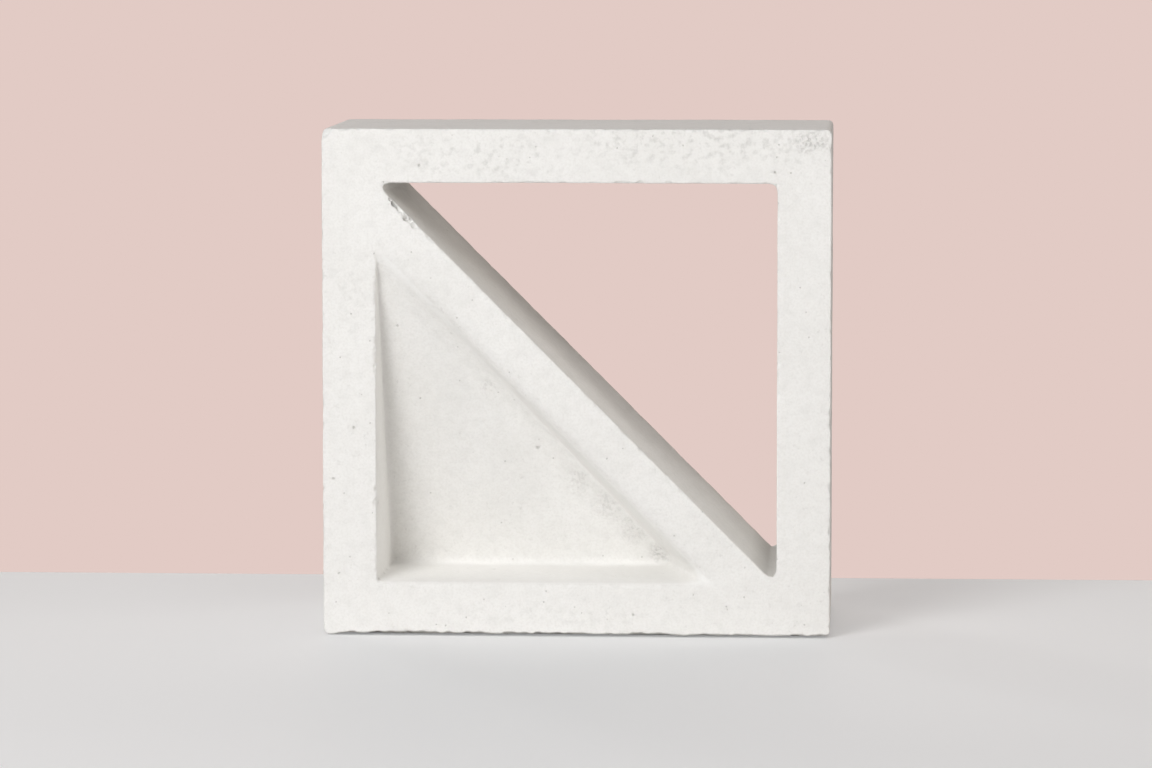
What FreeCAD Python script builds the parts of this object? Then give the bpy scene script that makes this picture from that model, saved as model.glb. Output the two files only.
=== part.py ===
"""Decorative screen block: one square casting with a frame and a diagonal bar.

On one side of the bar a triangular opening goes right through the block, with its
long side on the block's diagonal. On the other side the front face has a triangular
recess with drafted walls. Its floor slopes: it is shallow at the top of the recess
and deep along the bottom frame.

The block stands on its bed face with its front towards -Y, its right hand side
towards +X and +Z up. The origin is the middle of the bed face.
"""
import FreeCAD, Part
import Sketcher
import math
import os

NODE = "screen_block"

# Driving dimensions, in millimetres and degrees
SIZES = [
    ("side", 190.0),             # height and width of the square block
    ("thickness", 90.0),         # front face to back face
    ("frame_width", 20.3),       # frame round the opening and the recess
    ("bar_width", 17.2),         # diagonal bar at the front face, square across it
    ("recess_depth", 40.0),      # depth of the recess along the bottom frame
    ("recess_run_out", 1.0),     # depth of the recess at its shallow top end
    ("frame_draft", 3.0),        # draft of the two recess walls along the frame
    ("bar_draft", 12.0),         # draft of the recess wall along the bar
    ("floor_radius", 4.5),       # round where the deep end of the floor meets its wall
    ("square_radius", 3.0),      # right-angled corner of the opening
    ("acute_radius", 2.2),       # two acute corners of the opening
    ("block_radius", 2.0),       # outer corners of the block
]

# Lengths that follow from the driving dimensions, as expressions on the sheet
HALF_SIDE = "sizes.side / 2"
HALF_THICKNESS = "sizes.thickness / 2"
FRAME_TO_MIDDLE = "sizes.side / 2 - sizes.frame_width"
FRAME_TO_TOP = "sizes.side - sizes.frame_width"
OPENING_LEG = "sizes.side - 2 * sizes.frame_width"
RECESS_LEG = "sizes.side - 2 * sizes.frame_width - sizes.bar_width * sqrt(2)"
FRAME_RUN = "sizes.recess_depth * tan(sizes.frame_draft)"
BAR_RUN = "sizes.recess_depth * tan(sizes.bar_draft)"
FOOT_TO_MIDDLE = f"{FRAME_TO_MIDDLE} - {FRAME_RUN}"
FOOT_FROM_BED = f"sizes.frame_width + {FRAME_RUN}"
FOOT_LEG = f"{RECESS_LEG} - 2 * {FRAME_RUN} - {BAR_RUN} * sqrt(2)"

# Points of a sketch: its origin, and the two ends of a line
ORIGIN = (-1, 1)
START = 1
END = 2

# Two lengths closer than this are the same length
SAME = 1e-4


def add_sizes(doc):
    """Put the driving dimensions into a sheet, one named cell each."""
    sheet = doc.addObject("Spreadsheet::Sheet", "sizes")
    for row, (alias, value) in enumerate(SIZES, start=1):
        sheet.set(f"A{row}", alias)
        sheet.set(f"B{row}", str(value))
        sheet.setAlias(f"B{row}", alias)
    doc.recompute()
    return sheet


def add_sketch(body, name, plane_role, offset=None):
    """Add an empty sketch on one of the body's own origin planes."""
    sketch = body.newObject("Sketcher::SketchObject", name)
    planes = [item for item in body.Origin.OriginFeatures if item.Role == plane_role]
    sketch.AttachmentSupport = [(planes[0], "")]
    sketch.MapMode = "FlatFace"
    if offset:
        sketch.setExpression("AttachmentOffset.Base.z", offset)
    return sketch


def add_polygon(sketch, corners):
    """Draw a closed chain of straight lines and keep its corners joined."""
    points = [FreeCAD.Vector(x, y, 0) for x, y in corners]
    for start, end in zip(points, points[1:] + points[:1]):
        sketch.addGeometry(Part.LineSegment(start, end), False)
    for line in range(len(points)):
        following = (line + 1) % len(points)
        sketch.addConstraint(Sketcher.Constraint("Coincident", line, END, following, START))


def set_length(sketch, name, kind, first, second, expression):
    """Add a named distance along X or Y from one point to another."""
    place = sketch.addConstraint(Sketcher.Constraint(kind, *first, *second, 1.0))
    sketch.renameConstraint(place, name)
    sketch.setExpression(f"Constraints.{name}", expression)


def draw_square(sketch, side):
    """Draw the block's outline, standing on the sketch's X axis."""
    half = side / 2
    add_polygon(sketch, [(-half, 0), (half, 0), (half, side), (-half, side)])
    sketch.addConstraint(Sketcher.Constraint("Horizontal", 0))
    sketch.addConstraint(Sketcher.Constraint("Vertical", 1))
    sketch.addConstraint(Sketcher.Constraint("Horizontal", 2))
    sketch.addConstraint(Sketcher.Constraint("Vertical", 3))
    sketch.addConstraint(Sketcher.Constraint("PointOnObject", 0, START, -1))
    set_length(sketch, "left", "DistanceX", (0, START), ORIGIN, HALF_SIDE)
    set_length(sketch, "wide", "DistanceX", (0, START), (0, END), "sizes.side")
    set_length(sketch, "high", "DistanceY", (1, START), (1, END), "sizes.side")


def draw_recess(sketch, corner, leg, to_middle, from_bed, leg_expression):
    """Draw the recess at one depth: its right angle is at the lower left."""
    left, bottom = corner
    add_polygon(sketch, [(left, bottom), (left + leg, bottom), (left, bottom + leg)])
    sketch.addConstraint(Sketcher.Constraint("Horizontal", 0))
    sketch.addConstraint(Sketcher.Constraint("Vertical", 2))
    set_length(sketch, "left", "DistanceX", (0, START), ORIGIN, to_middle)
    set_length(sketch, "bottom", "DistanceY", ORIGIN, (0, START), from_bed)
    set_length(sketch, "wide", "DistanceX", (0, START), (0, END), leg_expression)
    set_length(sketch, "high", "DistanceY", (2, END), (2, START), leg_expression)


def draw_ramp(sketch, thickness, frame, leg, depth, run_out):
    """Draw the side view of the sloping floor that fills the back of the recess."""
    front = -thickness / 2
    corners = [(front + depth, frame), (front + depth, frame + leg), (front + run_out, frame + leg)]
    add_polygon(sketch, corners)
    sketch.addConstraint(Sketcher.Constraint("Vertical", 0))
    sketch.addConstraint(Sketcher.Constraint("Horizontal", 1))
    deep = f"{HALF_THICKNESS} - sizes.recess_depth"
    shallow = "sizes.recess_depth - sizes.recess_run_out"
    set_length(sketch, "deep", "DistanceX", (0, START), ORIGIN, deep)
    set_length(sketch, "bottom", "DistanceY", ORIGIN, (0, START), "sizes.frame_width")
    set_length(sketch, "high", "DistanceY", (0, START), (0, END), RECESS_LEG)
    set_length(sketch, "shallow", "DistanceX", (1, END), (1, START), shallow)


def draw_opening(sketch, side, frame, leg):
    """Draw the opening: its right angle is at the upper right."""
    right = side / 2 - frame
    top = side - frame
    add_polygon(sketch, [(right, top), (right - leg, top), (right, top - leg)])
    sketch.addConstraint(Sketcher.Constraint("Horizontal", 0))
    sketch.addConstraint(Sketcher.Constraint("Vertical", 2))
    set_length(sketch, "right", "DistanceX", ORIGIN, (0, START), FRAME_TO_MIDDLE)
    set_length(sketch, "top", "DistanceY", ORIGIN, (0, START), FRAME_TO_TOP)
    set_length(sketch, "wide", "DistanceX", (0, END), (0, START), OPENING_LEG)
    set_length(sketch, "high", "DistanceY", (2, START), (2, END), OPENING_LEG)


def edge_names(shape, wanted):
    """Name the straight edges of a shape that a test picks by their two ends."""
    names = []
    for number, edge in enumerate(shape.Edges, start=1):
        ends = [vertex.Point for vertex in edge.Vertexes]
        if len(ends) == 2 and wanted(ends[0], ends[1]):
            names.append(f"Edge{number}")
    return names


def add_fillet(body, name, base, wanted, radius):
    """Round the edges of a feature that a test picks."""
    fillet = body.newObject("PartDesign::Fillet", name)
    fillet.Base = (base, edge_names(base.Shape, wanted))
    fillet.setExpression("Radius", radius)
    return fillet


def build_block(doc, sizes):
    """Build the whole casting as one body."""
    side = sizes.side
    frame = sizes.frame_width
    thickness = sizes.thickness
    half_thickness = thickness / 2
    left = frame - side / 2
    opening_leg = side - 2 * frame
    recess_leg = side - 2 * frame - sizes.bar_width * 2 ** 0.5
    frame_run = sizes.recess_depth * math.tan(math.radians(sizes.frame_draft))
    bar_run = sizes.recess_depth * math.tan(math.radians(sizes.bar_draft))
    foot_leg = recess_leg - 2 * frame_run - bar_run * 2 ** 0.5

    body = doc.addObject("PartDesign::Body", NODE)
    body.Label = NODE

    outline = add_sketch(body, "block_outline", "XZ_Plane")
    draw_square(outline, side)
    block = body.newObject("PartDesign::Pad", "block")
    block.Profile = outline
    block.Midplane = True
    block.setExpression("Length", "sizes.thickness")
    doc.recompute()

    # The recess narrows from its mouth to its foot, along the bar more than along the frame
    mouth = add_sketch(body, "recess_mouth", "XZ_Plane", HALF_THICKNESS)
    draw_recess(mouth, (left, frame), recess_leg, FRAME_TO_MIDDLE, "sizes.frame_width", RECESS_LEG)
    foot = add_sketch(body, "recess_foot", "XZ_Plane", f"{HALF_THICKNESS} - sizes.recess_depth")
    foot_corner = (left + frame_run, frame + frame_run)
    draw_recess(foot, foot_corner, foot_leg, FOOT_TO_MIDDLE, FOOT_FROM_BED, FOOT_LEG)
    recess = body.newObject("PartDesign::SubtractiveLoft", "recess")
    recess.Profile = mouth
    recess.Sections = [foot]
    recess.Ruled = True
    doc.recompute()

    # The ramp starts half way into the left frame, so that it joins the casting all round
    slope = add_sketch(body, "ramp_profile", "YZ_Plane", f"sizes.frame_width / 2 - {HALF_SIDE}")
    draw_ramp(slope, thickness, frame, recess_leg, sizes.recess_depth, sizes.recess_run_out)
    ramp = body.newObject("PartDesign::Pad", "ramp")
    ramp.Profile = slope
    ramp.setExpression("Length", f"{RECESS_LEG} + sizes.frame_width / 2")
    doc.recompute()

    triangle = add_sketch(body, "opening_outline", "XZ_Plane")
    draw_opening(triangle, side, frame, opening_leg)
    opening = body.newObject("PartDesign::Pocket", "opening")
    opening.Profile = triangle
    opening.Type = "ThroughAll"
    opening.Midplane = True
    doc.recompute()

    def across_block(first, second):
        return abs(abs(first.y - second.y) - thickness) < SAME

    def on_outside(first, second):
        return across_block(first, second) and side / 2 - abs(first.x) < frame / 2

    def in_opening(first, second):
        return across_block(first, second) and side / 2 - abs(first.x) > frame / 2

    def in_square_corner(first, second):
        return in_opening(first, second) and first.x + first.z > side

    def in_acute_corner(first, second):
        return in_opening(first, second) and first.x + first.z < side

    def under_deep_end(first, second):
        level = abs(first.y - second.y) < SAME and abs(first.z - second.z) < SAME
        return level and half_thickness - abs(first.y) > SAME

    square = add_fillet(body, "square_corner", opening, in_square_corner, "sizes.square_radius")
    doc.recompute()
    acute = add_fillet(body, "acute_corners", square, in_acute_corner, "sizes.acute_radius")
    doc.recompute()
    outer_corners = add_fillet(body, "outer_corners", acute, on_outside, "sizes.block_radius")
    doc.recompute()
    add_fillet(body, "floor_round", outer_corners, under_deep_end, "sizes.floor_radius")
    doc.recompute()
    return body


def check_document(doc, body):
    """Stop if a feature failed or cut nothing, or the casting isn't one sound solid."""
    for item in doc.Objects:
        if "Invalid" in item.State or "Error" in item.State:
            raise RuntimeError(f"{item.Name} failed: {item.State}")
    if body.Shape.isNull() or not body.Shape.isValid() or len(body.Shape.Solids) != 1:
        raise RuntimeError("the casting is not one valid solid")
    features = [item for item in body.Group if item.isDerivedFrom("PartDesign::Feature")]
    volumes = {item.Name: item.Shape.Volume for item in features}
    for smaller, larger in (("recess", "block"), ("recess", "ramp"), ("opening", "ramp")):
        if volumes[smaller] >= volumes[larger]:
            raise RuntimeError(f"{smaller} is not smaller than {larger}")
    return volumes


def main():
    doc = FreeCAD.newDocument("decorative_screen_block")
    sizes = add_sizes(doc)
    body = build_block(doc, sizes)
    volumes = check_document(doc, body)
    for name, volume in volumes.items():
        print(f"{name}: {volume / 1000:.1f} cm3")
    os.makedirs("parts", exist_ok=True)
    body.Shape.exportStep(os.path.join("parts", f"{NODE}.step"))


main()
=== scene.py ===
"""Dresses the decorative screen block: a weathered concrete casting on a plain pale floor.

The casting's mesh is made from its flat faces. Each face is filled with triangles that
get smaller towards its edges. All points then settle on a distance field, which has the
block's planes with rounded, ragged and chipped arrises and soft inner corners.
"""
import itertools
import math

import bmesh
import bpy
import numpy as np
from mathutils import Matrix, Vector
from mathutils.geometry import delaunay_2d_cdt
from mathutils.kdtree import KDTree


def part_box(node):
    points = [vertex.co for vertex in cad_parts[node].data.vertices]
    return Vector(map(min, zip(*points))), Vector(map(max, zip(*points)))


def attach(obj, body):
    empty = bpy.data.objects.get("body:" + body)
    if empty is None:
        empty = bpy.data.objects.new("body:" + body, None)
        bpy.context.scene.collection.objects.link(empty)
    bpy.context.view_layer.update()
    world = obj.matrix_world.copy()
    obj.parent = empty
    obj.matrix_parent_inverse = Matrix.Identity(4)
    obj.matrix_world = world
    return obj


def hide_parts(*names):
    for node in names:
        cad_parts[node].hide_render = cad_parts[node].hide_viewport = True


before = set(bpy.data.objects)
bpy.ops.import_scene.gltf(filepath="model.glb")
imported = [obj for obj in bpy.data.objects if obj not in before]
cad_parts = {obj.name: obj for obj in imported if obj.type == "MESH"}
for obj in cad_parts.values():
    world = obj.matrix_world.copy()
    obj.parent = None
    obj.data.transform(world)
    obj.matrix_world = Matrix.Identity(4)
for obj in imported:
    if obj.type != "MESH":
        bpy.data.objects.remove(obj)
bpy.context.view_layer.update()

MM = 0.001
NODE = "screen_block"

# Main sizes of the casting, in metres
LOW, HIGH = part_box(NODE)
SIDE = HIGH.x - LOW.x
THICKNESS = HIGH.y - LOW.y
FRONT = LOW.y
BACK = HIGH.y
HALF = SIDE / 2
FRAME_WIDTH = 20.3 * MM
BAR_WIDTH = 17.2 * MM
RECESS_DEPTH = 40 * MM
RECESS_RUN_OUT = 1 * MM
FRAME_DRAFT = math.radians(3)
BAR_DRAFT = math.radians(12)
OPENING_LEG = SIDE - 2 * FRAME_WIDTH
RECESS_LEG = OPENING_LEG - BAR_WIDTH * math.sqrt(2)

# Sides of the two triangles
LEFT = FRAME_WIDTH - HALF
RIGHT = HALF - FRAME_WIDTH
BOTTOM = FRAME_WIDTH
TOP = SIDE - FRAME_WIDTH

# Widths over which two surfaces run into each other
BLOCK_CORNER = 2.4 * MM
SQUARE_CORNER = 3.5 * MM
ACUTE_CORNER = 4.6 * MM
RECESS_CORNER = 2 * MM
RIGHT_TIP = 7 * MM
TOP_TIP = 6 * MM
BOTTOM_FOOT = 4 * MM
LEFT_FOOT = 0.9 * MM
BAR_FOOT = 1.5 * MM
BAR_FOOT_TOP = 9 * MM
ARRIS = 0.8 * MM
ARRIS_RAGGED = 2.2 * MM
BAR_ARRIS = 5.5 * MM
WALL_CHANGE = 4 * MM
BOTTOM_ARRIS = 2.4 * MM

# Between these shares of the recess's height the bar's foot softens
SOFTENING = (0.4, 0.75)

# Lengths of the triangles' sides along the arrises and on the flats
FINE = 0.5 * MM
MIDDLE = 0.9 * MM
COARSE = 1.3 * MM
SHOWN_FLAT = 1.7 * MM
WALL_FLAT = 2.4 * MM
HIDDEN_FLAT = 3.4 * MM

# Rows of points beside the edges, with distances counted in the edge's own steps
ROWS = (0.6, 1.35, 2.25)
ROW_STRETCH = 0.15
ROW_CLEAR = 0.95 * ROWS[0]

# Points in between, further apart the further they are from the edges
GRID_START = 1.3 * FINE
GRID_RATIO = 1.5
GRID_SHAKE = 0.12
GRID_AT_EDGE = 1.1
GRID_GROWTH = 0.33
GRID_CLEAR = ROWS[-1] + 0.6

# Rings of points round the middle of each pit: radius, counted in the pit's own, and number of points
PIT_RINGS = ((0.4, 6), (0.8, 9), (1.2, 12))
PIT_CLEAR = 1.5

# Limits of the triangulation, the first one in millimetres, and the kind of its output
SAME_POINT = 1e-5
ALL_TRIANGLES = 0
SLIVER = 0.01 * FINE ** 2
ON_EDGE = 0.002 * FINE
WELD = 0.005 * MM

SEED = 7
RANDOM = np.random.default_rng(SEED)


# Points of the casting

# The opening's acute corners are cut off where their rounding begins
ACUTE_CUT = 5.3 * MM
SLANT_CUT = ACUTE_CUT / math.sqrt(2)
SQUARE = [(-HALF, 0), (HALF, 0), (HALF, SIDE), (-HALF, SIDE)]
OPENING = [
    (RIGHT, TOP),
    (RIGHT - OPENING_LEG + ACUTE_CUT, TOP),
    (RIGHT - OPENING_LEG + SLANT_CUT, TOP - SLANT_CUT),
    (RIGHT - SLANT_CUT, TOP - OPENING_LEG + SLANT_CUT),
    (RIGHT, TOP - OPENING_LEG + ACUTE_CUT),
]
MOUTH = [(LEFT, BOTTOM), (LEFT + RECESS_LEG, BOTTOM), (LEFT, BOTTOM + RECESS_LEG)]


def upright(outline, y):
    """Stand an outline of (x, z) pairs up at one depth."""
    return [np.array((x, y, z)) for x, z in outline]


def plane(normal, through):
    """A plane as its unit normal and its distance from the origin."""
    normal = np.array(normal, float)
    normal /= np.linalg.norm(normal)
    return normal, normal @ np.array(through)


# Each plane's normal points out of the hollow, into the concrete
MOUTH_CORNER = (LEFT, FRONT, BOTTOM)
MOUTH_RIGHT = (LEFT + RECESS_LEG, FRONT, BOTTOM)
BOTTOM_WALL = plane((0, math.tan(FRAME_DRAFT), -1), MOUTH_CORNER)
LEFT_WALL = plane((-1, math.tan(FRAME_DRAFT), 0), MOUTH_CORNER)
BAR_WALL = plane((1, math.tan(BAR_DRAFT) * math.sqrt(2), 1), MOUTH_RIGHT)
FLOOR_NORMAL = (0, RECESS_LEG, RECESS_DEPTH - RECESS_RUN_OUT)
RECESS_FLOOR = plane(FLOOR_NORMAL, (LEFT, FRONT + RECESS_DEPTH, BOTTOM))


def meeting_point(*planes):
    """The point that three planes share."""
    return np.linalg.solve([normal for normal, _ in planes], [offset for _, offset in planes])


def casting_faces():
    """Each flat face as its loops of corners, outline first, seen from outside, with its flat length."""
    front, back = upright(SQUARE, FRONT), upright(SQUARE, BACK)
    near, far = upright(OPENING, FRONT), upright(OPENING, BACK)
    mouth = upright(MOUTH, FRONT)
    walls = (BOTTOM_WALL, BAR_WALL, LEFT_WALL)
    foot = [meeting_point(walls[corner - 1], walls[corner], RECESS_FLOOR) for corner in range(len(MOUTH))]
    faces = [([front, near, mouth], SHOWN_FLAT), ([back[::-1], far[::-1]], HIDDEN_FLAT)]
    for corner in range(len(SQUARE)):
        following = (corner + 1) % len(SQUARE)
        faces.append(([[front[following], front[corner], back[corner], back[following]]], HIDDEN_FLAT))
    for corner in range(len(OPENING)):
        following = (corner + 1) % len(OPENING)
        faces.append(([[near[corner], near[following], far[following], far[corner]]], WALL_FLAT))
    for corner in range(len(MOUTH)):
        following = (corner + 1) % len(MOUTH)
        faces.append(([[mouth[corner], mouth[following], foot[following], foot[corner]]], SHOWN_FLAT))
    faces.append(([foot], SHOWN_FLAT))
    return faces


# Noise and the distance field

# Large odd numbers that scatter the values of the cells
CELL_FACTORS = np.array((73856093, 19349663, 83492791))
SEED_FACTOR = 2654435761
MIX_FACTOR = 1274126177
LAST_BITS = 0xFFFF


def lattice_value(cells, seed):
    """One fixed random number from 0 to 1 for each whole-numbered cell."""
    mixed = cells @ CELL_FACTORS + seed * SEED_FACTOR
    mixed = (mixed ^ (mixed >> 13)) * MIX_FACTOR
    return ((mixed ^ (mixed >> 16)) & LAST_BITS) / LAST_BITS


def noise(points, length, seed):
    """Smooth noise from -1 to 1 with swells about this length apart."""
    scaled = points / length
    cells = np.floor(scaled).astype(np.int64)
    part = scaled - cells
    # A curve that is level at both ends of a cell
    part = part * part * part * (part * (part * 6 - 15) + 10)
    total = np.zeros(len(points))
    for corner in itertools.product((0, 1), repeat=3):
        weight = np.prod(np.where(corner, part, 1 - part), axis=1)
        total += weight * lattice_value(cells + np.array(corner), seed)
    return 2 * total - 1


def mixed_noise(points, layers, start):
    """A number plus several noises, each with its strength, length and seed."""
    return sum((strength * noise(points, length, seed) for strength, length, seed in layers), start)


def spots(points, middle, strength, length, seed):
    """Soft spots from 0 to 1, about this length apart."""
    return np.clip(middle + strength * noise(points, length, seed), 0, 1)


def fade(distance, reach, end=1):
    """From 1 close by down to 0 at a distance of so many reaches."""
    return np.clip(end - distance / reach, 0, 1)


def smooth_max(first, second, blend):
    """The larger of two distances, rounded off over a width where they are alike."""
    alike = np.clip(1 - np.abs(first - second) / blend, 0, None)
    return np.maximum(first, second) + blend * alike ** 2 / 4


def recess_walls(points):
    """Distance of each point out of the recess through its bottom, left and bar walls and floor."""
    planes = (BOTTOM_WALL, LEFT_WALL, BAR_WALL, RECESS_FLOOR)
    return [points @ normal - offset for normal, offset in planes]


def casting_distance(points, arris, lift):
    """Distance out of the casting, below zero inside it.

    The arrises are rounded over the given widths, and the bed is lifted by the given heights.
    """
    x, y, z = points.T
    outline = smooth_max(np.abs(x) - HALF, np.maximum(z - SIDE, lift - z), BLOCK_CORNER)
    casting = smooth_max(outline, np.abs(y) - THICKNESS / 2, arris)
    opening = smooth_max(x - RIGHT, z - TOP, SQUARE_CORNER)
    opening = smooth_max(opening, (RIGHT + TOP - OPENING_LEG - x - z) / math.sqrt(2), ACUTE_CORNER)
    casting = smooth_max(casting, -opening, arris)
    bottom, left, bar, floor = recess_walls(points)
    legs = smooth_max(bottom, left, RECESS_CORNER)
    at_bar = np.interp(bar - legs, (-WALL_CHANGE, WALL_CHANGE), (0, 1))
    at_bottom = np.interp(bottom - left, (-WALL_CHANGE, WALL_CHANGE), (0, 1))
    foot = LEFT_FOOT + (BOTTOM_FOOT - LEFT_FOOT) * at_bottom
    bar_foot = np.interp((z - BOTTOM) / RECESS_LEG, SOFTENING, (BAR_FOOT, BAR_FOOT_TOP))
    foot = foot + (bar_foot - foot) * at_bar
    tip = TOP_TIP + (RIGHT_TIP - TOP_TIP) * at_bottom
    recess = smooth_max(smooth_max(legs, bar, tip), floor, foot)
    mouth = np.maximum(arris, BOTTOM_ARRIS * at_bottom)
    mouth = mouth + np.maximum(BAR_ARRIS - mouth, 0) * at_bar
    return smooth_max(casting, -recess, mouth)


# Shares of the way to the surface that the points go in turn, and the least steepness that they go by
SETTLE_STEPS = (0.3, 0.4, 0.5, 0.6, 0.7, 0.8, 0.9, 1, 1)
LEAST_STEEPNESS = 0.1
PROBE_STEP = 0.01 * MM


def slopes(points, distance):
    """The distance at each point and the way in which it grows fastest."""
    here = distance(points)
    ahead = [distance(points + PROBE_STEP * np.eye(3)[axis]) - here for axis in range(3)]
    return here, np.stack(ahead, axis=1) / PROBE_STEP


def settle(points, distance):
    """Move points square to the surface until they lie on it, by short steps at first."""
    for share in SETTLE_STEPS:
        here, slope = slopes(points, distance)
        steepness = np.maximum((slope ** 2).sum(axis=1), LEAST_STEEPNESS)
        points = points - share * slope * (here / steepness)[:, None]
    return points


# Triangles on the flat faces

def edge_step(start, end):
    """Length of the triangles along an edge: short in front, where the arrises show most."""
    if max(start[1], end[1]) < FRONT + RECESS_DEPTH + MM:
        return FINE
    if abs(start[1] - end[1]) > THICKNESS / 2:
        return MIDDLE
    return COARSE


def flat_frame(outline):
    """Origin and two axes of a flat face."""
    across = outline[1] - outline[0]
    across = across / np.linalg.norm(across)
    normal = np.cross(across, outline[2] - outline[0])
    normal = normal / np.linalg.norm(normal)
    return outline[0], np.stack((across, np.cross(normal, across)))


class FlatFace:
    """One flat face: its edges in its own plane and the points that it is filled with."""

    def __init__(self, loops, flat_length):
        self.origin, self.axes = flat_frame(loops[0])
        self.flat_length = flat_length
        self.edges = [pair for loop in loops for pair in zip(loop, loop[1:] + loop[:1])]
        self.steps = np.array([edge_step(*edge) for edge in self.edges])
        self.starts = self.to_flat(np.array([start for start, _ in self.edges]))
        self.ends = self.to_flat(np.array([end for _, end in self.edges]))

    def to_flat(self, points):
        return (points - self.origin) @ self.axes.T

    def to_space(self, points):
        return self.origin + points @ self.axes

    def edge_distances(self, points):
        """Distance of each point from each edge."""
        along = self.ends - self.starts
        offset = points[:, None] - self.starts
        share = np.clip((offset * along).sum(axis=2) / (along ** 2).sum(axis=1), 0, 1)
        return np.linalg.norm(offset - share[:, :, None] * along, axis=2)

    def inside(self, points):
        """Whether each point is on the face, by counting the edges to its right."""
        above_start = self.starts[:, 1] > points[:, 1:]
        above_end = self.ends[:, 1] > points[:, 1:]
        rise = self.ends[:, 1] - self.starts[:, 1]
        share = (points[:, 1:] - self.starts[:, 1]) / np.where(rise == 0, 1, rise)
        crossing = self.starts[:, 0] + share * (self.ends[:, 0] - self.starts[:, 0])
        return ((above_start != above_end) & (crossing > points[:, :1])).sum(axis=1) % 2 == 1

    def rim(self):
        """Points along the edges, and the pairs of them that have to stay joined."""
        points, pairs = [], []
        for start, end, step in zip(self.starts, self.ends, self.steps):
            count = max(1, round(np.linalg.norm(end - start) / step))
            first = len(points)
            points += [start + (end - start) * number / count for number in range(count + 1)]
            pairs += [(first + number, first + number + 1) for number in range(count)]
        return np.array(points), pairs

    def rows(self):
        """Points in rows beside the edges."""
        found = []
        for start, end, step in zip(self.starts, self.ends, self.steps):
            length = np.linalg.norm(end - start)
            along = (end - start) / length
            side = np.array((-along[1], along[0]))
            for number, row in enumerate(ROWS):
                count = max(2, round(length / (step * (1 + ROW_STRETCH * number))))
                # Every second row is moved along by half a step
                shares = (np.arange(count) + number % 2 / 2) / count
                line = start + shares[:, None] * (end - start)
                found += [line + side * row * step, line - side * row * step]
        points = np.concatenate(found)
        points = points[self.inside(points)]
        clear = (self.edge_distances(points) / self.steps).min(axis=1)
        return points[clear > ROW_CLEAR]

    def grid(self):
        """Points in a web that gets wider away from the edges."""
        low, high = self.starts.min(axis=0), self.starts.max(axis=0)
        lengths = [GRID_START]
        while lengths[-1] * GRID_RATIO < self.flat_length:
            lengths.append(lengths[-1] * GRID_RATIO)
        lengths.append(self.flat_length)
        found = []
        for length, longer in zip(lengths, lengths[1:] + [math.inf]):
            columns = np.arange(low[0], high[0], length)
            lines = np.arange(low[1], high[1], length * math.sqrt(3) / 2)
            points = np.stack(np.meshgrid(columns, lines), axis=-1)
            points[1::2, :, 0] += length / 2
            points = points.reshape(-1, 2)
            points = points + RANDOM.uniform(-GRID_SHAKE, GRID_SHAKE, points.shape) * length
            distances = self.edge_distances(points)
            wanted = (GRID_AT_EDGE * self.steps + GRID_GROWTH * distances).min(axis=1)
            wanted = wanted.clip(max=self.flat_length)
            clear = (distances / self.steps).min(axis=1)
            keep = (wanted >= length) & (wanted < longer) & (clear > GRID_CLEAR)
            found.append(points[keep])
        points = np.concatenate(found)
        return points[self.inside(points)]

    def fill(self, pits):
        """Triangulate the face, with finer rings in its pits. Returns points in space and triangles."""
        rim, pairs = self.rim()
        inner = [self.rows(), self.grid()]
        for centre, radius in pits:
            room = PIT_CLEAR * radius
            inner = [points[np.linalg.norm(points - centre, axis=1) > room] for points in inner]
        for centre, radius in pits:
            inner.append(centre[None] + pit_rings() * radius)
        points = np.concatenate([rim] + inner)
        flat = [Vector(point) for point in points / MM]
        made, _, triangles, *_ = delaunay_2d_cdt(flat, pairs, [], ALL_TRIANGLES, SAME_POINT, False)
        points = np.array(made) * MM
        triangles = np.array(triangles)
        corners = points[triangles]
        first, second = corners[:, 1] - corners[:, 0], corners[:, 2] - corners[:, 0]
        doubled_area = first[:, 0] * second[:, 1] - first[:, 1] * second[:, 0]
        triangles[doubled_area < 0] = triangles[doubled_area < 0][:, ::-1]
        keep = self.inside(corners.mean(axis=1))
        for number in np.flatnonzero(np.abs(doubled_area) < SLIVER):
            keep[number] &= self.edge_distances(corners[number]).max(axis=0).min() > ON_EDGE
        return self.to_space(points), triangles[keep]


def pit_rings():
    """Points of a pit of unit radius: its middle and three rings."""
    rings = [np.zeros((1, 2))]
    for radius, count in PIT_RINGS:
        turns = np.arange(count) * 2 * math.pi / count + radius
        rings.append(radius * np.stack((np.cos(turns), np.sin(turns)), axis=1))
    return np.concatenate(rings)


# Weathering: chips on the arrises, pinholes and pits on the faces

# Small chips, with their places and depths as shares of an arris and of the depth
CHIP_SPACING = 9 * MM
BED_CHIP_SPACING = 12 * MM
CHIP_PLACES = (0.03, 0.97)
CHIP_DEPTH = 1.0 * MM
CHIP_DEPTH_SHARES = (0.3, 1.0)
CHIP_RADIUS = (0.8 * MM, 2.6 * MM)
CHIP_BLEND = 0.4 * MM
CHIP_ROUGH = 0.35 * MM


def arris_lines():
    """The outward arrises: start, end, way out between the two faces, and spacing of the chips."""
    lines = []
    for outline, hollow in ((SQUARE, False), (OPENING, True), (MOUTH, True)):
        for y, out in ((FRONT, -1), (BACK, 1)):
            if outline is MOUTH and y == BACK:
                continue
            corners = upright(outline, y)
            for start, end in zip(corners, corners[1:] + corners[:1]):
                along = (end - start) / np.linalg.norm(end - start)
                side = np.array((along[2], 0, -along[0])) * (-1 if hollow else 1)
                on_bed = start[2] + end[2] == 0
                spacing = BED_CHIP_SPACING if on_bed else CHIP_SPACING
                lines.append((start, end, (side + (0, out, 0)) / math.sqrt(2), spacing))
    return lines


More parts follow.
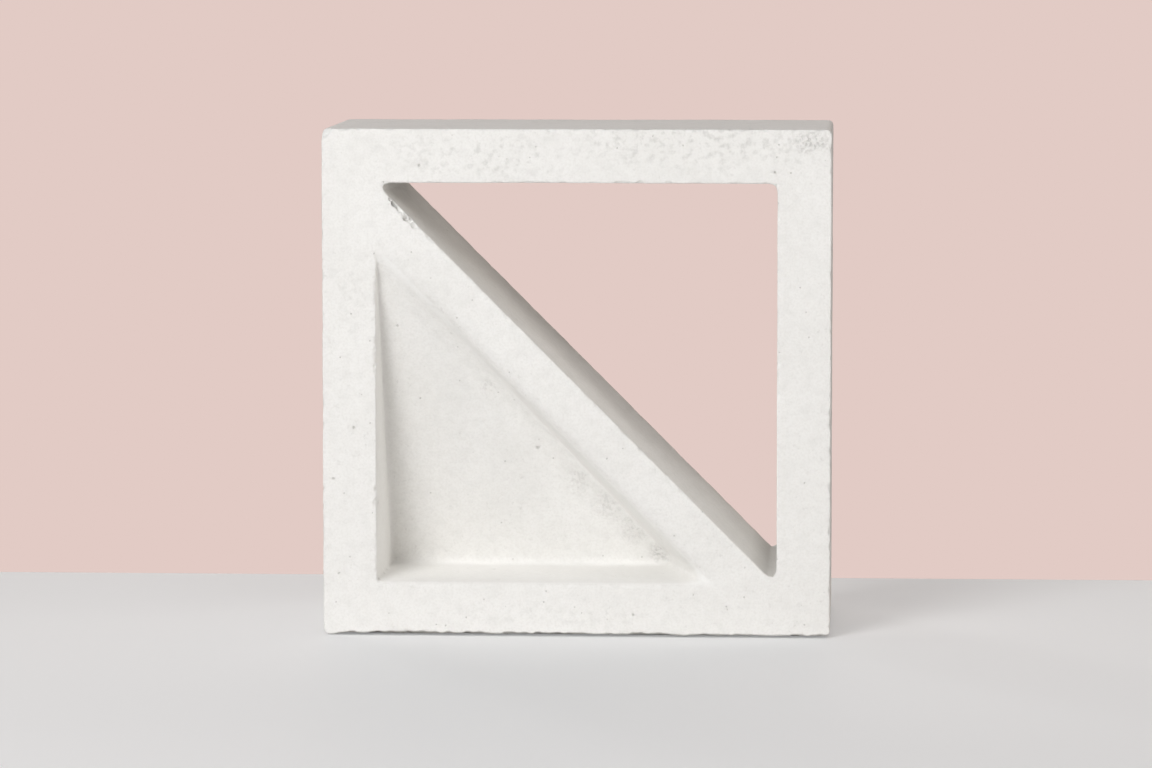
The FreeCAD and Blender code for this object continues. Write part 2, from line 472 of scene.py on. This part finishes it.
def scattered_chips():
    """Small bites at random places along every arris, as centre, radius and roughness of a ball."""
    chips = []
    for start, end, way, spacing in arris_lines():
        for _ in range(round(np.linalg.norm(end - start) / spacing)):
            place = start + (end - start) * RANDOM.uniform(*CHIP_PLACES)
            depth = CHIP_DEPTH * RANDOM.uniform(*CHIP_DEPTH_SHARES) ** 2
            radius = RANDOM.uniform(*CHIP_RADIUS)
            chips.append((place + way * (radius - depth), radius, CHIP_ROUGH))
    return chips


# Larger chips, in millimetres: distance along the bar's arris from its top end, or along the recess from
# its right end, or else the sides of the block's corner, and then depth and radius of the ball
BAR_CHIPS = (
    (8.8, 1.0, 1.8), (10.6, 2.1, 1.9), (12.6, 1.5, 2.6), (15.0, 1.1, 1.6), (16.8, 2.2, 2.0),
    (18.8, 1.6, 2.8), (21.0, 1.9, 1.8), (23.2, 1.0, 2.0), (28.0, 0.7, 1.8),
)
BAR_CHIP_ROUGH = 0.7 * MM
RECESS_CHIPS = ((4.0, 0.9, 3.0), (8.0, 1.1, 3.4), (12.5, 1.2, 3.4), (16.5, 0.9, 3.0))
CORNER_CHIPS = (((-1, -1, 1), 3.4, 7.0), ((1, -1, 1), 1.2, 4.0), ((-1, -1, 0), 1.6, 4.0))


def placed_chips():
    """The larger chips that the block shows: on the bar's two arrises and at three corners."""
    down = np.array((1, 0, -1)) / math.sqrt(2)
    bar_top = np.array((RIGHT - OPENING_LEG, FRONT, TOP))
    out_of_bar = np.array((0.5, -1 / math.sqrt(2), 0.5))
    into_recess = np.array((-0.5, -1 / math.sqrt(2), -0.5))
    chips = []
    for along, depth, radius in BAR_CHIPS:
        centre = bar_top + (down * along + out_of_bar * (radius - depth)) * MM
        chips.append((centre, radius * MM, BAR_CHIP_ROUGH))
    for along, depth, radius in RECESS_CHIPS:
        centre = MOUTH_RIGHT - (down * along - into_recess * (radius - depth)) * MM
        chips.append((centre, radius * MM, CHIP_ROUGH))
    for (across, out, level), depth, radius in CORNER_CHIPS:
        point = np.array((across * HALF, FRONT, level * SIDE))
        away = np.array((across, out, 2 * level - 1)) / math.sqrt(3)
        chips.append((point + away * (radius - depth) * MM, radius * MM, CHIP_ROUGH))
    return chips


# Pinholes: their radii, their number on a square metre of plain and of pitted face, and their distances
# from the edges and, counted in their own radii, from each other
PIT_RADIUS = (0.3 * MM, 0.8 * MM)
PIT_SHARE = 0.0005 / MM ** 2
PITTED_SHARE = 0.012 / MM ** 2
PIT_EDGE_ROOM = 3 * MM
PIT_SPACING = 1.6

# Middle, reach and strength of the scuffed and the pitted patches, in metres, which end at so many reaches
PATCH_END = 1.4
SCUFFED = (
    ((0.045, FRONT, SIDE - 0.005), (0.055, 0.02, 0.010), 1.0),
    ((-0.035, FRONT, SIDE - 0.010), (0.040, 0.02, 0.010), 0.75),
    ((-0.085, FRONT, 0.125), (0.010, 0.02, 0.030), 0.4),
    ((0.000, FRONT, 0.008), (0.060, 0.02, 0.006), 0.4),
)
PITTED = (
    ((0.087, FRONT, SIDE - 0.005), (0.006, 0.02, 0.004), 0.8),
    ((0.0305, FRONT + 0.036, 0.0275), (0.004, 0.012, 0.004), 1.0),
    ((0.020, FRONT + 0.033, 0.037), (0.006, 0.02, 0.006), 0.5),
    ((0.010, FRONT + 0.031, 0.046), (0.006, 0.02, 0.006), 0.45),
    ((0.000, FRONT + 0.028, 0.056), (0.006, 0.02, 0.006), 0.4),
    ((-0.034, FRONT + 0.020, 0.092), (0.003, 0.04, 0.003), 0.5),
)
# The broken stretch of the bar's arris at the top of the opening
BROKEN = (((-0.0634, FRONT, 0.1584), (0.010, 0.01, 0.010), 1.0),)


def patchy(points, patches):
    """How far each point is inside the patches, from 0 to 1."""
    worn = np.zeros(len(points))
    for middle, reach, strength in patches:
        distance = np.linalg.norm((points - np.array(middle)) / np.array(reach), axis=1)
        worn = np.maximum(worn, strength * fade(distance, 1, PATCH_END))
    return worn


def face_pits(face):
    """Pinholes at random places of a face, closer together where it is pitted."""
    low, high = face.starts.min(axis=0), face.starts.max(axis=0)
    area = np.prod(high - low)
    places = RANDOM.uniform(low, high, (int(area * PITTED_SHARE), 2))
    density = np.maximum(patchy(face.to_space(places), PITTED), PIT_SHARE / PITTED_SHARE)
    places = places[RANDOM.uniform(0, 1, len(places)) < density]
    radii = RANDOM.uniform(0, 1, len(places)) ** 2 * (PIT_RADIUS[1] - PIT_RADIUS[0]) + PIT_RADIUS[0]
    usable = face.inside(places) & (face.edge_distances(places).min(axis=1) > PIT_EDGE_ROOM)
    chosen = []
    for place, radius in zip(places[usable], radii[usable]):
        if all(np.linalg.norm(place - other) > PIT_SPACING * (radius + room) for other, room in chosen):
            chosen.append((place, radius))
    return chosen


# The casting's mesh

def casting_mesh():
    """Build the weathered casting and return its mesh, with its wear and the painted light and shade kept
    as attributes.
    """
    work = bmesh.new()
    pits = []
    for loops, flat_length in casting_faces():
        face = FlatFace(loops, flat_length)
        own_pits = face_pits(face)
        pits += [(face.to_space(place), radius) for place, radius in own_pits]
        points, triangles = face.fill(own_pits)
        made = [work.verts.new(point) for point in points]
        for triangle in triangles:
            work.faces.new([made[corner] for corner in triangle])
    bmesh.ops.remove_doubles(work, verts=work.verts, dist=WELD)
    bmesh.ops.recalc_face_normals(work, faces=work.faces)
    mesh = bpy.data.meshes.new("screen_block_casting")
    work.to_mesh(mesh)
    work.free()

    points = np.empty(len(mesh.vertices) * 3)
    mesh.vertices.foreach_get("co", points)
    points, wear_and_painted_light = weathered(points.reshape(-1, 3), pits)
    mesh.vertices.foreach_set("co", points.ravel())
    for name, values in wear_and_painted_light.items():
        attribute = mesh.attributes.new(name, "FLOAT", "POINT")
        attribute.data.foreach_set("value", values)
    mesh.shade_smooth()
    mesh.update()
    return mesh


def near_points(points, balls, reach):
    """For each ball, the numbers of the points within so many of its radii."""
    tree = KDTree(len(points))
    for number, point in enumerate(points):
        tree.insert(point, number)
    tree.balance()
    found = [tree.find_range(centre, radius * reach) for centre, radius, *_ in balls]
    return [[number for _, number, _ in close] for close in found]


# Strength, length and seed of the noises that bite into the arrises, and the level above which they do
BITES = ((0.6, 5 * MM, 1), (0.7, 2.2 * MM, 2))
BITE_LEVEL = 0.2


def arris_widths(points):
    """How widely the arris is worn beside each point."""
    bitten = np.clip(mixed_noise(points, BITES, 0) - BITE_LEVEL, 0, 1)
    return ARRIS + ARRIS_RAGGED * bitten


# The uneven bed: its gap along the edges, smaller at the left end, and the noises that make it ragged
BED_GAP = 1.2 * MM
BED_GAP_REACH = 5 * MM
BED_GAP_END = 1.2
BED_LEFT_END = (4 * MM, 10 * MM)
BED_LEFT_SHARE = 0.15
BED_LEVEL = 0.75
BED_WAVES = ((0.12, 14 * MM, 6), (0.3, 2.4 * MM, 7))
BED_LIMITS = (0.1, 1.1)
BED_ROOM = 7 * MM


def bed_lift(points):
    """Height of the uneven bed over the ground: nothing in the middle, most along its edges."""
    x, y, _ = points.T
    inward = np.minimum(HALF - np.abs(x), THICKNESS / 2 - np.abs(y))
    by_edge = fade(inward, BED_GAP_REACH, BED_GAP_END)
    by_edge *= np.interp(x + HALF, BED_LEFT_END, (BED_LEFT_SHARE, 1))
    on_bed = points * np.array((1, 1, 0))
    return BED_GAP * by_edge * np.clip(mixed_noise(on_bed, BED_WAVES, BED_LEVEL), *BED_LIMITS)


# Height of the painted contact shadow over the bed, and its share at two places along the bed
BED_SHADOW_HEIGHT = 0.5 * MM
BED_SHADOW_END = 1.5
BED_SHADOW_GAIN = 3
BED_SHADOW_PLACES = (-60 * MM, 90 * MM)
BED_SHADOW_SHARES = (1, 0.6)


def bed_contact_shadow(points, lift):
    """Painted contact shadow on the lifted edges of the bed, less of it towards the right."""
    # The dark band along the lifted bed is a painted contact shadow.
    by_bed = fade(points[:, 2] - lift, BED_SHADOW_HEIGHT, BED_SHADOW_END)
    lifted = np.clip(BED_SHADOW_GAIN * lift / BED_GAP, 0, 1)
    return by_bed * lifted * np.interp(points[:, 0], BED_SHADOW_PLACES, BED_SHADOW_SHARES)


# Distance behind the recess's surfaces that counts as on them, and the width of its rim
RECESS_SLACK = 0.5 * MM
RECESS_EDGE = 1 * MM


def in_recess(points):
    """Which points are on the walls and the floor of the recess, from 0 on the front face to 1."""
    outside = np.max(recess_walls(points), axis=0) > RECESS_SLACK
    return np.where(outside, 0, np.clip((points[:, 1] - FRONT) / RECESS_EDGE, 0, 1))


# Share and reach of the painted light on the recess walls, and reach and gain of the painted highlight at
# the right tip
WALL_LIGHT_SHARE = 0.55
WALL_LIGHT_REACH = 1 * MM
WALL_LIGHT_END = 1.5
TIP_HIGHLIGHT_REACH = 2.2 * MM
TIP_HIGHLIGHT_GAIN = 1.5


def painted_wall_light(points):
    """Painted light on the walls of the recess, lightest as a painted highlight where the bottom wall runs
    into the bar's wall.
    """
    bottom, left, bar, _ = np.abs(recess_walls(points))
    from_walls = np.minimum(np.minimum(bottom, left), bar)
    from_tip = np.maximum(bottom, bar)
    # The recess walls are painted lighter, and the right tip gets a painted highlight.
    walls = WALL_LIGHT_SHARE * fade(from_walls, WALL_LIGHT_REACH, WALL_LIGHT_END)
    tip = np.clip(TIP_HIGHLIGHT_GAIN * (1 - from_tip / TIP_HIGHLIGHT_REACH), 0, 1)
    return np.maximum(walls, tip) * in_recess(points)


# Reach and strength of the darkening in corners, painted shade with spots of dirt, and middle, strength,
# length and seed of its spots
CREASE_REACH = 1.3 * MM
CREASE_SHADE_AND_DIRT = 0.6
CREASE_SPOTS = (0.3, 1.2, 2.5 * MM, 8)
FOOT_REACH = 8 * MM
FOOT_SHADE_AND_DIRT = 0.1
FOOT_SPOTS = (0.7, 0.8, 2.5 * MM, 14)
TIP_REACH = 9 * MM
TIP_END = 1.6
TIP_SHADE = 0.36
TIP_FRONT = 2 * MM
TIP_BACK = 1 * MM


def corner_shade_and_dirt(points):
    """Painted shade with spots of dirt in the recess's lower left crease and along the bar's foot, and
    painted shade in the opening's lower tip.
    """
    bottom, left, bar, floor = recess_walls(points)
    # The crease where the bottom and left walls meet is darkened: painted shade with spots of dirt.
    crease = fade(np.maximum(np.abs(bottom), np.abs(left)), CREASE_REACH)
    crease *= CREASE_SHADE_AND_DIRT * spots(points, *CREASE_SPOTS)
    # The floor along the bar's foot is darkened: painted shade with spots of grime.
    foot = fade(-bar, FOOT_REACH) * (floor > -RECESS_SLACK)
    foot *= FOOT_SHADE_AND_DIRT * spots(points, *FOOT_SPOTS)
    x, y, z = points.T
    # The opening's lower tip is darkened with painted shade.
    from_tip = np.hypot(x - RIGHT, z - (TOP - OPENING_LEG))
    tip = TIP_SHADE * fade(from_tip, TIP_REACH, TIP_END) * np.clip((y - FRONT) / TIP_FRONT, 0, 1)
    return np.maximum(np.maximum(crease, foot) * in_recess(points), tip * (y < BACK - TIP_BACK))


# Pits: depth, counted in their radii, how far they are from round, and how much they are darkened
PIT_DEPTH = 1.1
PIT_RAGGED = 0.35
PIT_SEED = 5
PIT_DARKENING = 0.42
# How far round each chip and pit points are looked for, counted in its radii
SPOT_REACH = 1.3


def sunk_pits(points, pits):
    """How deep each point is sunk in a pit, and how much it is darkened there."""
    sunk, dirt_and_shade = np.zeros(len(points)), np.zeros(len(points))
    for (centre, radius), numbers in zip(pits, near_points(points, pits, SPOT_REACH)):
        reach = np.linalg.norm(points[numbers] - centre, axis=1) / radius
        reach *= 1 + PIT_RAGGED * noise(points[numbers], radius, PIT_SEED)
        bowl = np.clip(1 - reach ** 2, 0, 1)
        sunk[numbers] += PIT_DEPTH * radius * bowl
        # Each pit is darkened most in its middle.
        dirt_and_shade[numbers] = np.maximum(dirt_and_shade[numbers], PIT_DARKENING * np.sqrt(bowl))
    return sunk, dirt_and_shade


# Distance apart and height of the faces' swells, and the seed of the first
SWELL = ((22 * MM, 0.12 * MM), (7 * MM, 0.07 * MM), (3 * MM, 0.05 * MM))
SWELL_SEED = 10
# Length and seed of the facets of chips, the depth at which a chip is all fresh, and its darkening: dirt
# with painted shade in the notches
CHIP_FACETS = (1.4 * MM, 3)
FRESH_DEPTH = 0.4 * MM
BROKEN_DIRT_AND_SHADE = 0.65
BROKEN_SPOTS = (0.2, 1.6, 1.6 * MM, 9)


def weathered(points, pits):
    """Round, chip, pit and roughen the sharp points. Returns them with their wear and the painted light
    and shade.
    """
    arris, lift = arris_widths(points), bed_lift(points)
    rough = noise(points, *CHIP_FACETS)

    def rounded_distance(place):
        return casting_distance(place, arris, lift)

    # The lowest rows of points rise with the bed, so that they stay in order
    points[:, 2] += lift * fade(points[:, 2], BED_ROOM)
    points = settle(points, rounded_distance)

    chips = scattered_chips() + placed_chips()
    chip_points = near_points(points, chips, SPOT_REACH)

    def chipped_distance(place):
        distance = rounded_distance(place)
        for (centre, radius, ragged), numbers in zip(chips, chip_points):
            cut = radius - np.linalg.norm(place[numbers] - centre, axis=1) + ragged * rough[numbers]
            distance[numbers] = smooth_max(distance[numbers], cut, CHIP_BLEND)
        return distance

    points = settle(points, chipped_distance)
    unchipped, normals = slopes(points, rounded_distance)
    normals /= np.linalg.norm(normals, axis=1)[:, None]
    broken = np.clip(-unchipped / FRESH_DEPTH, 0, 1)

    sunk, dirt_and_shade = sunk_pits(points, pits)
    for number, (length, height) in enumerate(SWELL):
        sunk += height * (1 + noise(points, length, SWELL_SEED + number)) / 2
    # Dark spots in the broken stretch of the bar's arris: dirt with painted shade in its notches.
    broken_dirt_and_shade = BROKEN_DIRT_AND_SHADE * broken * spots(points, *BROKEN_SPOTS) * patchy(points, BROKEN)
    # The dirt layer also holds painted shade in corners and notches and the painted contact shadow along
    # the bed.
    for layer in (corner_shade_and_dirt(points), bed_contact_shadow(points, lift), broken_dirt_and_shade):
        dirt_and_shade = np.maximum(dirt_and_shade, layer)
    wear_and_painted_light = {
        # The fresh layer also holds painted light on the recess walls and a painted highlight at their
        # right tip.
        "fresh_and_painted_light": np.maximum(broken, painted_wall_light(points)),
        "dirt_and_shade": dirt_and_shade,
        "scuffed": patchy(points, SCUFFED),
        "pitted": patchy(points, PITTED),
    }
    return points - normals * sunk[:, None], wear_and_painted_light


def add_casting():
    """Put the casting in the place of the plain solid."""
    casting = bpy.data.objects.new("casting", casting_mesh())
    bpy.context.collection.objects.link(casting)
    casting.data.materials.append(concrete_material())
    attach(casting, "root")
    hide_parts(NODE)


# Materials

def new_material(name):
    """A material with nodes, its tree and its main shader."""
    material = bpy.data.materials.new(name)
    material.use_nodes = True
    return material, material.node_tree, material.node_tree.nodes["Principled BSDF"]


def add_noise(tree, place, length, detail):
    """Noise with swells about this length apart."""
    node = tree.nodes.new("ShaderNodeTexNoise")
    node.inputs["Scale"].default_value = 1 / length
    node.inputs["Detail"].default_value = detail
    tree.links.new(place, node.inputs["Vector"])
    return node.outputs["Fac"]


def add_cells(tree, place, length):
    """Distance from the nearest of many scattered spots, as a share of their distance apart."""
    node = tree.nodes.new("ShaderNodeTexVoronoi")
    node.inputs["Scale"].default_value = 1 / length
    tree.links.new(place, node.inputs["Vector"])
    return node.outputs["Distance"]


def add_range(tree, value, low, high, to_low=0.0, to_high=1.0):
    """Stretch the values between two limits to a new range."""
    node = tree.nodes.new("ShaderNodeMapRange")
    node.inputs["From Min"].default_value = low
    node.inputs["From Max"].default_value = high
    node.inputs["To Min"].default_value = to_low
    node.inputs["To Max"].default_value = to_high
    tree.links.new(value, node.inputs["Value"])
    return node.outputs["Result"]


def add_math(tree, operation, first, second):
    """Work out one value from two, either of which may be a plain number."""
    node = tree.nodes.new("ShaderNodeMath")
    node.operation = operation
    for socket, value in zip(node.inputs, (first, second)):
        if isinstance(value, (int, float)):
            socket.default_value = value
        else:
            tree.links.new(value, socket)
    return node.outputs["Value"]


def add_mix(tree, share, first, second):
    """Mix two colours, either of which may be a plain colour."""
    node = tree.nodes.new("ShaderNodeMix")
    node.data_type = "RGBA"
    tree.links.new(share, node.inputs["Factor"])
    for name, colour in (("A", first), ("B", second)):
        socket = next(item for item in node.inputs if item.name == name and item.type == "RGBA")
        if isinstance(colour, tuple):
            socket.default_value = (*colour, 1)
        else:
            tree.links.new(colour, socket)
    return next(item for item in node.outputs if item.type == "RGBA")


def add_attribute(tree, name):
    """A number that the mesh holds at each point."""
    node = tree.nodes.new("ShaderNodeAttribute")
    node.attribute_name = name
    return node.outputs["Fac"]


def add_spots(tree, place, length, detail, limits, shares):
    """Noise whose values between two limits are stretched to a range of shares."""
    return add_range(tree, add_noise(tree, place, length, detail), *limits, *shares)


def add_layer(tree, colour, where, strength, layer):
    """Cover a colour with another one where a value is high."""
    return add_mix(tree, add_math(tree, "MULTIPLY", where, strength), colour, layer)


def add_seen(tree):
    """1 for rays from the camera, also by way of gloss or glass, and 0 for rays that carry light."""
    rays = tree.nodes.new("ShaderNodeLightPath").outputs
    seen = add_math(tree, "MAXIMUM", rays["Is Camera Ray"], rays["Is Glossy Ray"])
    return add_math(tree, "MAXIMUM", seen, rays["Is Transmission Ray"])


def mix_to_output(tree, share, first, second, output):
    """Mix two shaders and send them to the tree's output."""
    mix = tree.nodes.new("ShaderNodeMixShader")
    tree.links.new(share, mix.inputs["Fac"])
    tree.links.new(first, mix.inputs[1])
    tree.links.new(second, mix.inputs[2])
    tree.links.new(mix.outputs["Shader"], tree.nodes[output].inputs["Surface"])


CONCRETE_LIGHT = (0.94, 0.930, 0.908)
CONCRETE_DARK = (0.905, 0.894, 0.868)
SMUDGE = (0.82, 0.81, 0.785)
GRAIN = (0.80, 0.785, 0.755)
SPECK = (0.56, 0.545, 0.52)
STAIN = (0.55, 0.54, 0.515)
# Dark colour of dirt, also used for painted shade
DIRT_AND_SHADE = (0.23, 0.215, 0.19)
# Colour of fresh broken concrete, also used for painted light on the recess walls
FRESH_AND_LIT = (0.968, 0.962, 0.942)

# Length, detail, limits and shares of the spots in the concrete
CLOUDS = (34 * MM, 5, (0.3, 0.7), (0, 1))
SMUDGES = (4 * MM, 5, (0.45, 0.75), (0, 0.42))
SPECKS = (1.7 * MM, 2, (0.62, 0.76), (0, 1))
CROWDS = (16 * MM, 3, (0.4, 0.7), (0.05, 0.3))
MARKS = (2.0 * MM, 3, (0.5, 0.72), (0, 1))
NICKS = (1.1 * MM, 3, (0.5, 0.62), (0, 1))

# Length and detail of plain noises, and limits and shares to which they are stretched
SAND = (0.9 * MM, 3)
SAND_SHARES = (0.42, 0.7, 0, 0.4)
SAND_ROUGHNESS = (0.3, 0.7, 0.8, 0.96)
SCUFFS = (9 * MM, 3)
SCUFF_LIMITS = (0.7, 1.4)
WAVES = (2.8 * MM, 3)
PORE_SPACING = 5.5 * MM
PORE_LIMITS = (0.07, 0.03)

# Strength of the layers of colour
PORE_STRENGTH = 0.3
MARK_STRENGTH = 0.42
NICK_STRENGTH = 0.5
FRESH_AND_LIT_STRENGTH = 0.85
DIRT_AND_SHADE_STRENGTH = 0.85

# Heights and depths in the bump, next to those of the sand
WAVE_HEIGHT = 1.8
PORE_DEPTH = 2.0
MARK_DEPTH = 0.8
NICK_DEPTH = 3.0
BUMP_STRENGTH = 0.8
BUMP_HEIGHT = 0.16 * MM
CONCRETE_SPECULAR = 0.3


def concrete_material():
    """Off-white cast concrete with clouds, sandy grain, specks, pores, scuffs, fresh chips and dirt, with
    painted light and shade.
    """
    material, tree, shader = new_material("cast_concrete_white")
    place = tree.nodes.new("ShaderNodeTexCoord").outputs["Object"]

    colour = add_mix(tree, add_spots(tree, place, *CLOUDS), CONCRETE_LIGHT, CONCRETE_DARK)
    colour = add_mix(tree, add_spots(tree, place, *SMUDGES), colour, SMUDGE)
    sand = add_noise(tree, place, *SAND)
    colour = add_mix(tree, add_range(tree, sand, *SAND_SHARES), colour, GRAIN)
    specks = add_math(tree, "MULTIPLY", add_spots(tree, place, *SPECKS), add_spots(tree, place, *CROWDS))
    colour = add_mix(tree, specks, colour, SPECK)
    pores = add_range(tree, add_cells(tree, place, PORE_SPACING), *PORE_LIMITS)
    colour = add_layer(tree, colour, pores, PORE_STRENGTH, DIRT_AND_SHADE)

    scuffed = add_math(tree, "ADD", add_attribute(tree, "scuffed"), add_noise(tree, place, *SCUFFS))
    scuffed = add_range(tree, scuffed, *SCUFF_LIMITS)
    marks = add_math(tree, "MULTIPLY", add_spots(tree, place, *MARKS), scuffed)
    colour = add_layer(tree, colour, marks, MARK_STRENGTH, STAIN)
    nicks = add_math(tree, "MULTIPLY", add_spots(tree, place, *NICKS), add_attribute(tree, "pitted"))
    colour = add_layer(tree, colour, nicks, NICK_STRENGTH, STAIN)
    # This layer also paints light on the recess walls and a highlight at their right tip.
    colour = add_layer(tree, colour, add_attribute(tree, "fresh_and_painted_light"), FRESH_AND_LIT_STRENGTH, FRESH_AND_LIT)
    # This layer also paints shade in corners and notches and a contact shadow along the bed.
    colour = add_layer(tree, colour, add_attribute(tree, "dirt_and_shade"), DIRT_AND_SHADE_STRENGTH, DIRT_AND_SHADE)
    tree.links.new(colour, shader.inputs["Base Color"])

    tree.links.new(add_range(tree, sand, *SAND_ROUGHNESS), shader.inputs["Roughness"])
    shader.inputs["Specular IOR Level"].default_value = CONCRETE_SPECULAR

    waves = add_math(tree, "MULTIPLY", add_noise(tree, place, *WAVES), WAVE_HEIGHT)
    height = add_math(tree, "ADD", sand, waves)
    for holes, depth in ((pores, PORE_DEPTH), (marks, MARK_DEPTH), (nicks, NICK_DEPTH)):
        height = add_math(tree, "SUBTRACT", height, add_math(tree, "MULTIPLY", holes, depth))
    bump = tree.nodes.new("ShaderNodeBump")
    bump.inputs["Strength"].default_value = BUMP_STRENGTH
    bump.inputs["Distance"].default_value = BUMP_HEIGHT
    tree.links.new(height, bump.inputs["Height"])
    tree.links.new(bump.outputs["Normal"], shader.inputs["Normal"])
    return material


FLOOR_COLOUR = (0.9, 0.9, 0.9)
FLOOR_PALE = (0.94, 0.95, 0.96)
FLOOR_PALE_SHARE = 0.27
FLOOR_ROUGHNESS = 0.6
FLOOR_SPECULAR = 0.15


def floor_material():
    """A plain pale floor. The camera sees it a little paler, with the shadows kept."""
    material, tree, shader = new_material("plain_floor")
    shader.inputs["Base Color"].default_value = (*FLOOR_COLOUR, 1)
    shader.inputs["Roughness"].default_value = FLOOR_ROUGHNESS
    shader.inputs["Specular IOR Level"].default_value = FLOOR_SPECULAR
    pale = tree.nodes.new("ShaderNodeEmission")
    pale.inputs["Color"].default_value = (*FLOOR_PALE, 1)
    share = add_math(tree, "MULTIPLY", add_seen(tree), FLOOR_PALE_SHARE)
    mix_to_output(tree, share, shader.outputs["BSDF"], pale.outputs["Emission"], "Material Output")
    return material


# Floor, light and camera

FLOOR_BEHIND = 130 * MM
FLOOR_AHEAD = 2.2
FLOOR_HALF_WIDTH = 2.5
FLOOR_DEPTH = 40 * MM
FLOOR_EDGE = 2 * MM
FLOOR_EDGE_STEPS = 3
FLOOR_EDGE_PROFILE = 0.5


def add_floor():
    """A slab under the block, with its far edge close behind it."""
    work = bmesh.new()
    bmesh.ops.create_cube(work, size=1)
    for vertex in work.verts:
        across, along, level = vertex.co
        vertex.co = (
            2 * across * FLOOR_HALF_WIDTH,
            FLOOR_BEHIND if along > 0 else -FLOOR_AHEAD,
            0 if level > 0 else -FLOOR_DEPTH,
        )
    bmesh.ops.bevel(
        work,
        geom=work.edges,
        offset=FLOOR_EDGE,
        segments=FLOOR_EDGE_STEPS,
        affect="EDGES",
        profile=FLOOR_EDGE_PROFILE,
    )
    mesh = bpy.data.meshes.new("floor")
    work.to_mesh(mesh)
    work.free()
    slab = bpy.data.objects.new("floor", mesh)
    bpy.context.collection.objects.link(slab)
    mesh.materials.append(floor_material())


BACKDROP_COLOUR = (0.76, 0.597, 0.558)
SKY_COLOUR = (1.0, 0.985, 0.97)
SKY_STRENGTH = 0.02


def add_world():
    """Even soft light from all round, with a plain backdrop where the camera looks past the floor."""
    world = bpy.data.worlds.new("studio")
    bpy.context.scene.world = world
    world.use_nodes = True
    tree = world.node_tree
    sky = tree.nodes["Background"]
    sky.inputs["Color"].default_value = (*SKY_COLOUR, 1)
    sky.inputs["Strength"].default_value = SKY_STRENGTH
    backdrop = tree.nodes.new("ShaderNodeBackground")
    backdrop.inputs["Color"].default_value = (*BACKDROP_COLOUR, 1)
    first, second = sky.outputs["Background"], backdrop.outputs["Background"]
    mix_to_output(tree, add_seen(tree), first, second, "World Output")


WHITE = (1, 1, 1)
WARM = (1, 0.95, 0.89)
ROSY = (1, 0.89, 0.82)
# Name, place, width, height, power in watts and colour of each lamp
LAMPS = (
    ("key", (-0.7, -1.5, 1.45), 0.7, 0.6, 12.8, WHITE),
    ("left_key", (-0.95, -1.95, 0.6), 0.6, 0.6, 6.3, WHITE),
    ("low_fill", (-0.55, -2.05, 0.25), 0.6, 0.4, 7.7, WHITE),
    ("left_fill", (-1.5, -1.45, 0.4), 0.6, 0.5, 2.8, WHITE),
    ("top", (0, -0.6, 1.5), 1.2, 0.5, 3.9, WHITE),
    ("right_fill", (1.8, -0.9, 0.5), 0.8, 0.6, 6.2, WARM),
    ("back", (0.2, 1.5, 0.7), 3.0, 1.2, 10.8, ROSY),
    ("back_left", (-0.85, 1.4, 0.95), 0.2, 0.2, 2.5, WHITE),
)
MIDDLE_OF_BLOCK = Vector((0, 0, SIDE / 2))


def add_lamps():
    """Soft rectangular lamps, each aimed at the middle of the block."""
    for name, place, width, height, power, colour in LAMPS:
        data = bpy.data.lights.new(name, "AREA")
        data.shape = "RECTANGLE"
        data.size = width
        data.size_y = height
        data.energy = power
        data.color = colour
        lamp = bpy.data.objects.new(name, data)
        bpy.context.collection.objects.link(lamp)
        lamp.location = place
        lamp.rotation_mode = "QUATERNION"
        lamp.rotation_quaternion = (MIDDLE_OF_BLOCK - lamp.location).to_track_quat("-Z", "Y")
        lamp.visible_camera = False


CAMERA_RIGHT = 104 * MM
CAMERA_UP = 268 * MM
CAMERA_AHEAD = 1.855
PICTURE_WIDTH = 1152
BLOCK_WIDTH_IN_PICTURE = 510
NEAREST_SEEN = 0.05
FURTHEST_SEEN = 50


def add_camera():
    """The photograph's viewpoint, with a lens that lets the block fill most of the picture's height."""
    data = bpy.data.cameras.new("camera")
    camera = bpy.data.objects.new("camera", data)
    bpy.context.collection.objects.link(camera)
    camera.location = (CAMERA_RIGHT, FRONT - CAMERA_AHEAD, CAMERA_UP)
    aim = Vector((0, FRONT, SIDE / 2))
    look = aim - camera.location
    camera.rotation_mode = "QUATERNION"
    camera.rotation_quaternion = look.to_track_quat("-Z", "Y")
    shown_width = SIDE * PICTURE_WIDTH / BLOCK_WIDTH_IN_PICTURE
    data.lens = data.sensor_width * look.length / shown_width
    data.clip_start = NEAREST_SEEN
    data.clip_end = FURTHEST_SEEN
    bpy.context.scene.camera = camera


def main():
    """Dress the block and set up its stage."""
    bpy.context.scene.view_settings.view_transform = "Standard"
    add_casting()
    add_floor()
    add_world()
    add_lamps()
    add_camera()


main()
